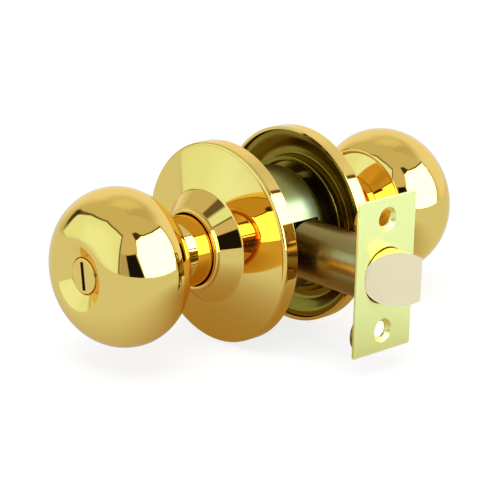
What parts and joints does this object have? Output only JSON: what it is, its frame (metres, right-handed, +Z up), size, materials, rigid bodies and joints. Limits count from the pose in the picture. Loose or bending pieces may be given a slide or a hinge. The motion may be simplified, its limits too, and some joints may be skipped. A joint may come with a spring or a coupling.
{
  "type": "door knob",
  "caption": "Privacy knob lock for an interior door: two ball knobs on round roses, drum case, sprung latch with faceplate, push button and coin release.",
  "frame": {"origin": "crossing of the spindle line and the latch line, halfway between the two roses (middle of the door's thickness)", "axes": "+X along the latch towards the door's edge, +Y along the spindles towards the inside (push button) side, +Z up"},
  "size_m": [0.114, 0.1768, 0.075],
  "materials": {
    "polished_brass": "mirror polished",
    "faceplate_brass": "satin",
    "yellow_zinc": "yellow zinc chromate",
    "clear_zinc": "pale iridescent zinc",
    "latch_steel": "satin, zinc plated",
    "bolt_brass": "cast, satin bevel",
    "spring_steel": "drawn wire",
    "plain_steel": "zinc plated"
  },
  "bodies": {
    "lock_case": {"case_shell": "clear_zinc", "case_cover": "clear_zinc", "retractor_guide": "clear_zinc", "outside_hub": "plain_steel", "inside_hub": "plain_steel", "outside_rose": "polished_brass", "inside_rose": "polished_brass", "outside_liner": "yellow_zinc", "mounting_plate": "yellow_zinc", "mounting_screws": "plain_steel", "latch_tube": "latch_steel", "latch_end_cap": "latch_steel", "latch_base_plate": "latch_steel", "faceplate": "faceplate_brass", "retractor_springs": "spring_steel", "bolt_spring": "spring_steel"},
    "outside_knob": {"outside_knob_shell": "polished_brass", "outside_knob_back": "polished_brass", "outside_neck": "polished_brass", "outside_spindle": "plain_steel", "outside_snap_ring": "spring_steel"},
    "release_button": {"release_button": "polished_brass", "release_stem": "plain_steel"},
    "inside_knob": {"inside_knob_shell": "polished_brass", "inside_knob_back": "polished_brass", "inside_neck": "polished_brass", "inside_spindle": "plain_steel", "inside_snap_ring": "spring_steel", "knob_catch": "spring_steel", "button_spring": "spring_steel"},
    "push_button": {"push_button": "polished_brass", "locking_bar": "plain_steel"},
    "retractor": {"retractor": "plain_steel"},
    "latch_bolt": {"latch_bolt": "bolt_brass", "latch_tail": "latch_steel", "tail_pin": "latch_steel"}
  },
  "joints": [
    {"name": "outside_knob_turn", "type": "hinge", "parent": "lock_case", "child": "outside_knob", "pos_m": [0, 0, 0], "axis": [0, 1, 0], "range_deg": [0, 60]},
    {"name": "inside_knob_turn", "type": "hinge", "parent": "lock_case", "child": "inside_knob", "pos_m": [0, 0, 0], "axis": [0, 1, 0], "range_deg": [0, 60.1]},
    {"name": "retractor_slide", "type": "slide", "parent": "lock_case", "child": "retractor", "axis": [-1, 0, 0], "range_m": [0, 0.01201], "deforming": ["retractor_springs"]},
    {"name": "latch_bolt_slide", "type": "slide", "parent": "lock_case", "child": "latch_bolt", "axis": [-1, 0, 0], "range_m": [0, 0.01201], "deforming": ["bolt_spring"]},
    {"name": "push_button_press", "type": "slide", "parent": "inside_knob", "child": "push_button", "axis": [0, -1, 0], "range_m": [0, 0.004], "deforming": ["button_spring"]},
    {"name": "release_button_turn", "type": "hinge", "parent": "outside_knob", "child": "release_button", "pos_m": [0, 0, 0], "axis": [0, 1, 0], "range_deg": [0, 90]}
  ],
  "couplings": [
    {"joint": "inside_knob_turn", "follows": "outside_knob_turn", "ratio": 1},
    {"joint": "retractor_slide", "follows": "outside_knob_turn", "m_per_rad": 0.011459},
    {"joint": "latch_bolt_slide", "follows": "outside_knob_turn", "m_per_rad": 0.011459}
  ]
}
